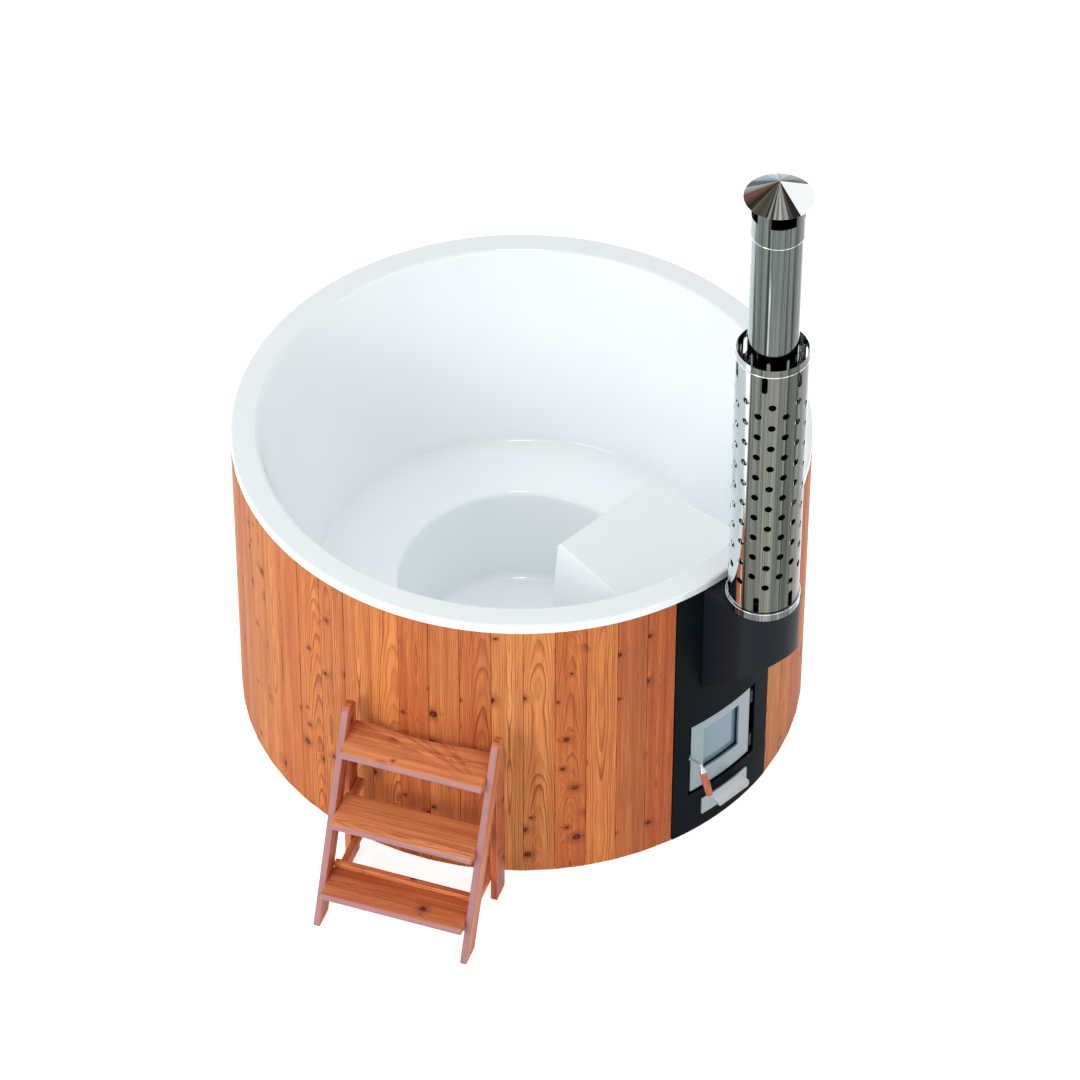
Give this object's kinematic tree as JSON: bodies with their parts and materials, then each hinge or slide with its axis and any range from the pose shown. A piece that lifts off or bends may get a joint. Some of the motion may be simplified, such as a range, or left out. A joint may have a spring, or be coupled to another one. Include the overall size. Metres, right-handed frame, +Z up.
{
  "type": "wooden hot tub",
  "caption": "Round timber-clad hot tub with a white moulded liner, a built-in wood stove with glazed door, ash drawer, guarded flue and rain cap, a drain valve and free-standing steps.",
  "frame": {"origin": "on the floor, on the tub's axis", "axes": "+Z up; -Y towards the stove door and flue; +X to the right of someone who faces the stove door"},
  "size_m": [2.1479, 2.1745, 2.651],
  "materials": {
    "liner_gelcoat": "glossy white moulding",
    "wall_timber": "oiled softwood with knots",
    "frame_timber": "plain sawn softwood",
    "steps_timber": "oiled softwood",
    "insulation": "rigid foam board",
    "black_steel": "semi-gloss black enamel",
    "stove_steel": "plain welded plate",
    "grate_iron": "as cast",
    "door_satin": "satin brushed",
    "mirror_steel": "mirror polished stainless steel",
    "bright_steel": "bright turned steel",
    "window_glass": "clear fire glass",
    "seal_cord": "woven fibre, black",
    "grip_wood": "oiled turned hardwood",
    "pipe_plastic": "plain pipe",
    "valve_brass": "cast brass",
    "lever_red": "dipped enamel"
  },
  "bodies": {
    "tub": {"liner_wall": "liner_gelcoat", "liner_bench": "liner_gelcoat", "liner_footwell": "liner_gelcoat", "liner_bay": "liner_gelcoat", "wall_boards": "wall_timber", "fixing_rings": "frame_timber", "base_plate": "frame_timber", "base_bearers": "frame_timber", "floor_insulation": "insulation", "bench_frame": "frame_timber", "front_panel": "black_steel", "panel_battens": "frame_timber", "stove_front_plate": "stove_steel", "stove_casing": "stove_steel", "firebox": "stove_steel", "fire_grate": "grate_iron", "baffle_plate": "stove_steel", "stove_feet": "stove_steel", "door_throat": "stove_steel", "ash_sleeve": "stove_steel", "flue_spigot": "stove_steel", "hinge_brackets": "black_steel", "hinge_pins": "bright_steel", "latch_keeper": "stove_steel", "housing_shell": "black_steel", "housing_lid": "black_steel", "flue_elbow": "stove_steel", "flue_lower_pipe": "mirror_steel", "flue_upper_pipe": "mirror_steel", "flue_cowl": "mirror_steel", "rain_cap": "mirror_steel", "heat_shield": "mirror_steel", "shield_collar": "mirror_steel", "shield_spacers": "bright_steel", "circulation_ports": "door_satin", "port_grilles": "door_satin", "drain_fitting": "door_satin", "drain_pipe": "pipe_plastic", "drain_valve_body": "valve_brass"},
    "door": {"door_frame": "door_satin", "door_glass": "window_glass", "glass_gasket": "seal_cord", "glass_retainer": "door_satin", "door_rope_seal": "seal_cord"},
    "latch": {"latch_shaft": "bright_steel", "handle_ferrule": "bright_steel", "handle_grip": "grip_wood"},
    "ash_drawer": {"ash_tray": "stove_steel", "ash_drawer_front": "door_satin", "ash_drawer_pull": "bright_steel"},
    "drain_valve": {"drain_valve_ball": "bright_steel", "drain_valve_lever": "lever_red"},
    "steps": {"steps_left_stile": "steps_timber", "steps_right_stile": "steps_timber", "steps_legs": "steps_timber", "steps_top_tread": "steps_timber", "steps_middle_tread": "steps_timber", "steps_bottom_tread": "steps_timber", "steps_cleats": "steps_timber", "steps_heel_strip": "steps_timber"}
  },
  "joints": [
    {"name": "door_hinge", "type": "hinge", "parent": "tub", "child": "door", "pos_m": [0.1244, -0.883, 0.321], "axis": [0, 0, 1], "range_deg": [0, 110]},
    {"name": "latch_turn", "type": "hinge", "parent": "door", "child": "latch", "pos_m": [-0.14067, -0.9, 0.331], "axis": [0, -1, 0], "range_deg": [0, 90]},
    {"name": "ash_drawer_slide", "type": "slide", "parent": "tub", "child": "ash_drawer", "axis": [0, -1, 0], "range_m": [0, 0.3]},
    {"name": "drain_valve_turn", "type": "hinge", "parent": "tub", "child": "drain_valve", "pos_m": [0, 0.956, 0.07], "axis": [0, 0, 1], "range_deg": [0, 90]},
    {"name": "steps_slide", "type": "slide", "parent": "tub", "child": "steps", "axis": [-0.898, -0.4399, 0], "range_m": [0, 0.6]}
  ]
}
